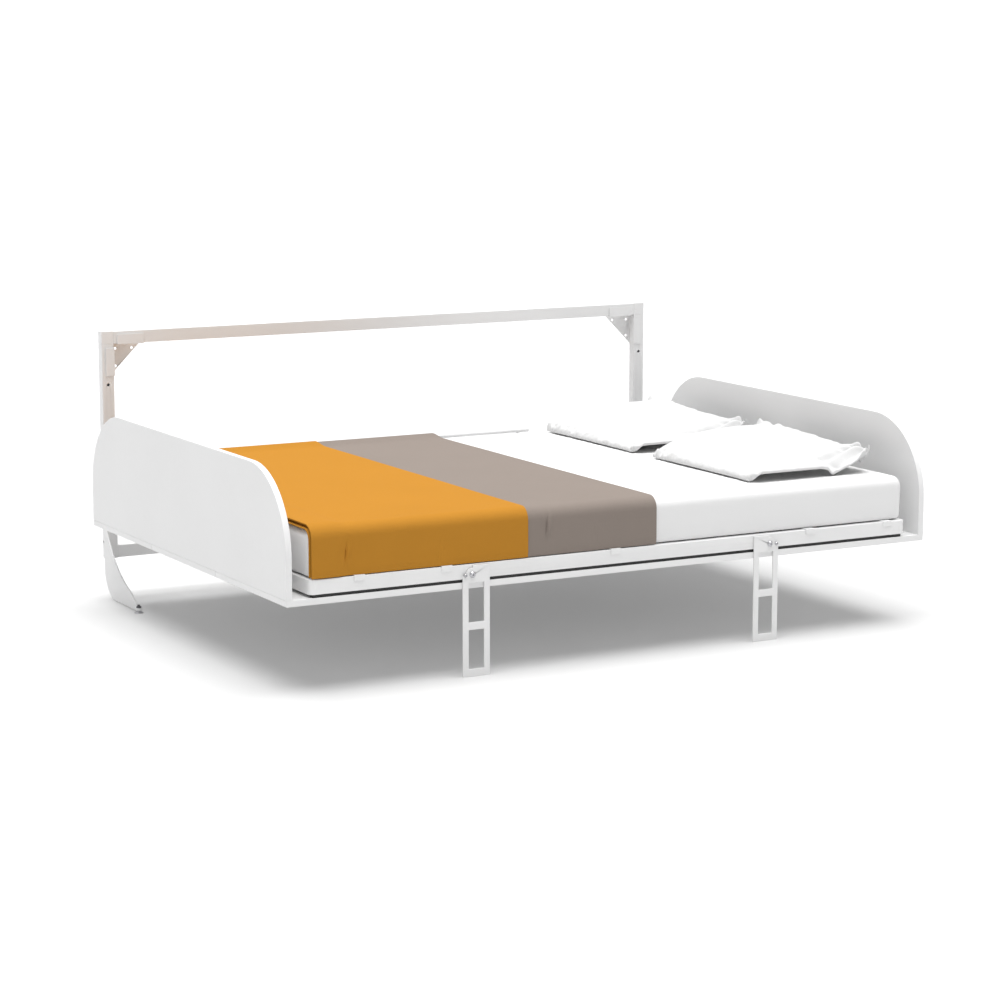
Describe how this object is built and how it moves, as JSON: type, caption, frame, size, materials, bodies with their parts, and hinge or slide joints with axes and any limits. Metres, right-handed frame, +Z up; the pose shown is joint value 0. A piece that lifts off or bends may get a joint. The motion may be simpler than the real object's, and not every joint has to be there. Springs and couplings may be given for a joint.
{
  "type": "murphy wall bed",
  "caption": "Side-folding wall bed, lowered: steel wall frame, board cabinet with rounded end panels, steel mattress frame, mattress, blankets, pillows and fold-away legs.",
  "frame": {"origin": "middle of the plan outline of the lowered bed, on the floor", "axes": "+X along the bed towards the pillow end, -Y the front edge with the legs, +Y the wall, +Z up"},
  "size_m": [2.148, 1.5844, 0.86],
  "materials": {
    "frame_paint": "satin",
    "bed_paint": "satin",
    "board": "satin",
    "zinc": "satin",
    "black_plastic": "matte",
    "dark_steel": "satin",
    "bush": "satin",
    "slat_wood": "satin",
    "ticking": "matte",
    "orange_cloth": "matte",
    "taupe_cloth": "matte",
    "pillow_cotton": "matte",
    "strut_paint": "gloss",
    "rod_chrome": "polished"
  },
  "bodies": {
    "wall_frame": {"upright_left": "frame_paint", "upright_right": "frame_paint", "top_rail": "frame_paint", "lower_rail": "frame_paint", "corner_block_left": "frame_paint", "corner_block_right": "frame_paint", "gusset_left": "frame_paint", "gusset_right": "frame_paint", "upright_caps": "frame_paint", "foot_plate_left": "frame_paint", "foot_plate_right": "frame_paint", "leveller_sleeves": "frame_paint", "leveller_bolts": "dark_steel", "leveller_nuts": "dark_steel", "leveller_pads": "zinc", "hinge_arm_left": "frame_paint", "hinge_arm_right": "frame_paint", "hinge_bushes": "bush", "strut_studs": "zinc"},
    "bed": {"front_board": "board", "middle_board": "board", "rear_board": "board", "end_panel_left": "board", "end_panel_right": "board", "panel_cleats": "zinc", "pivot_plate_left": "zinc", "pivot_plate_right": "zinc", "pivot_pins": "zinc", "plate_screws": "zinc", "front_rail": "bed_paint", "rear_rail": "bed_paint", "side_rail_left": "bed_paint", "side_rail_right": "bed_paint", "front_corners": "bed_paint", "rear_corners": "bed_paint", "frame_spacers": "black_plastic", "cross_bars": "bed_paint", "bar_hooks": "bed_paint", "slats": "slat_wood", "slat_caps": "black_plastic", "stop_bar": "bed_paint", "stop_bar_posts": "bed_paint", "mattress": "ticking", "blanket_orange": "orange_cloth", "blanket_taupe": "taupe_cloth", "pillow_front": "pillow_cotton", "pillow_rear": "pillow_cotton", "leg_pivot_bolts": "zinc", "leg_stop_bolts": "zinc", "leg_washers": "zinc", "leg_nuts": "zinc"},
    "leg_left": {"leg_left": "bed_paint"},
    "leg_right": {"leg_right": "bed_paint"},
    "strut_tube_left": {"strut_tube_left": "strut_paint"},
    "strut_tube_right": {"strut_tube_right": "strut_paint"},
    "strut_rod_left": {"strut_rod_left": "rod_chrome"},
    "strut_rod_right": {"strut_rod_right": "rod_chrome"}
  },
  "joints": [
    {"name": "fold", "type": "hinge", "parent": "wall_frame", "child": "bed", "pos_m": [0, 0.45525, 0.387], "axis": [-1, 0, 0], "range_deg": [0, 90]},
    {"name": "leg_left_fold", "type": "hinge", "parent": "bed", "child": "leg_left", "pos_m": [-0.503, -0.78425, 0.294], "axis": [0, -1, 0], "range_deg": [0, 90]},
    {"name": "leg_right_fold", "type": "hinge", "parent": "bed", "child": "leg_right", "pos_m": [0.503, -0.78425, 0.294], "axis": [0, 1, 0], "range_deg": [0, 90]},
    {"name": "strut_swing_left", "type": "hinge", "parent": "wall_frame", "child": "strut_tube_left", "pos_m": [-1.032, 0.40025, 0.315], "axis": [-1, 0, 0], "range_deg": [0, 82.1]},
    {"name": "strut_slide_left", "type": "slide", "parent": "strut_tube_left", "child": "strut_rod_left", "axis": [0, -0.9594, 0.282], "range_m": [0, 0.1207]},
    {"name": "strut_swing_right", "type": "hinge", "parent": "wall_frame", "child": "strut_tube_right", "pos_m": [1.032, 0.40025, 0.315], "axis": [-1, 0, 0], "range_deg": [0, 82.1]},
    {"name": "strut_slide_right", "type": "slide", "parent": "strut_tube_right", "child": "strut_rod_right", "axis": [0, -0.9594, 0.282], "range_m": [0, 0.1207]}
  ],
  "couplings": [
    {"joint": "strut_swing_left", "follows": "fold", "ratio": 0.91148},
    {"joint": "strut_slide_left", "follows": "fold", "m_per_rad": 0.076829},
    {"joint": "strut_swing_right", "follows": "fold", "ratio": 0.91148},
    {"joint": "strut_slide_right", "follows": "fold", "m_per_rad": 0.076829}
  ]
}
